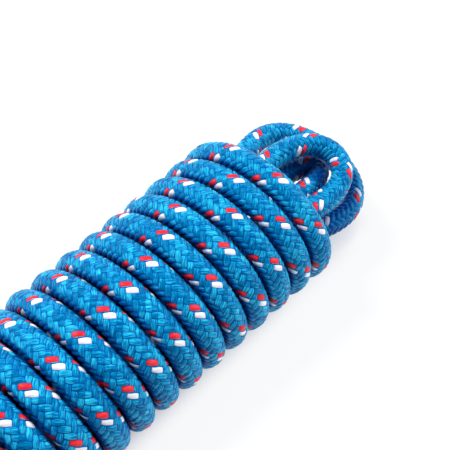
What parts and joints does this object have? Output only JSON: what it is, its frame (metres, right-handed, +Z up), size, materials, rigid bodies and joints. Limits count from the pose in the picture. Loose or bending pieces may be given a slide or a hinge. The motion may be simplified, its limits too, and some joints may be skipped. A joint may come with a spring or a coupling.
{
  "type": "climbing rope hank",
  "caption": "Blue braided climbing rope, 10 mm thick and about 5 m long, put away as a wrapped hank with looped ends.",
  "frame": {"origin": "middle of the underside of the hank", "axes": "+X along the hank, towards the end where the loops stand out and no rope end shows; +Z up"},
  "size_m": [0.3196, 0.0682, 0.0588],
  "materials": {
    "rope": "braided polyamide sheath with red and white tracer yarns",
    "core": "twisted white polyamide yarn",
    "end_sleeve": "shrunk black tube",
    "fused_seal": "rope end melted to a hard skin"
  },
  "bodies": {
    "root": {"inner_loops": "rope", "wrapping_turns": "rope", "tail": "rope", "start_sheath": "rope", "start_sleeve": "end_sleeve", "start_seal": "fused_seal", "tail_sheath": "rope", "tail_sleeve": "end_sleeve", "tail_seal": "fused_seal", "start_strand_1": "core", "start_strand_2": "core", "start_strand_3": "core", "start_strand_4": "core", "start_strand_5": "core", "start_strand_6": "core", "start_strand_7": "core", "tail_strand_1": "core", "tail_strand_2": "core", "tail_strand_3": "core", "tail_strand_4": "core", "tail_strand_5": "core", "tail_strand_6": "core", "tail_strand_7": "core"}
  },
  "joints": []
}
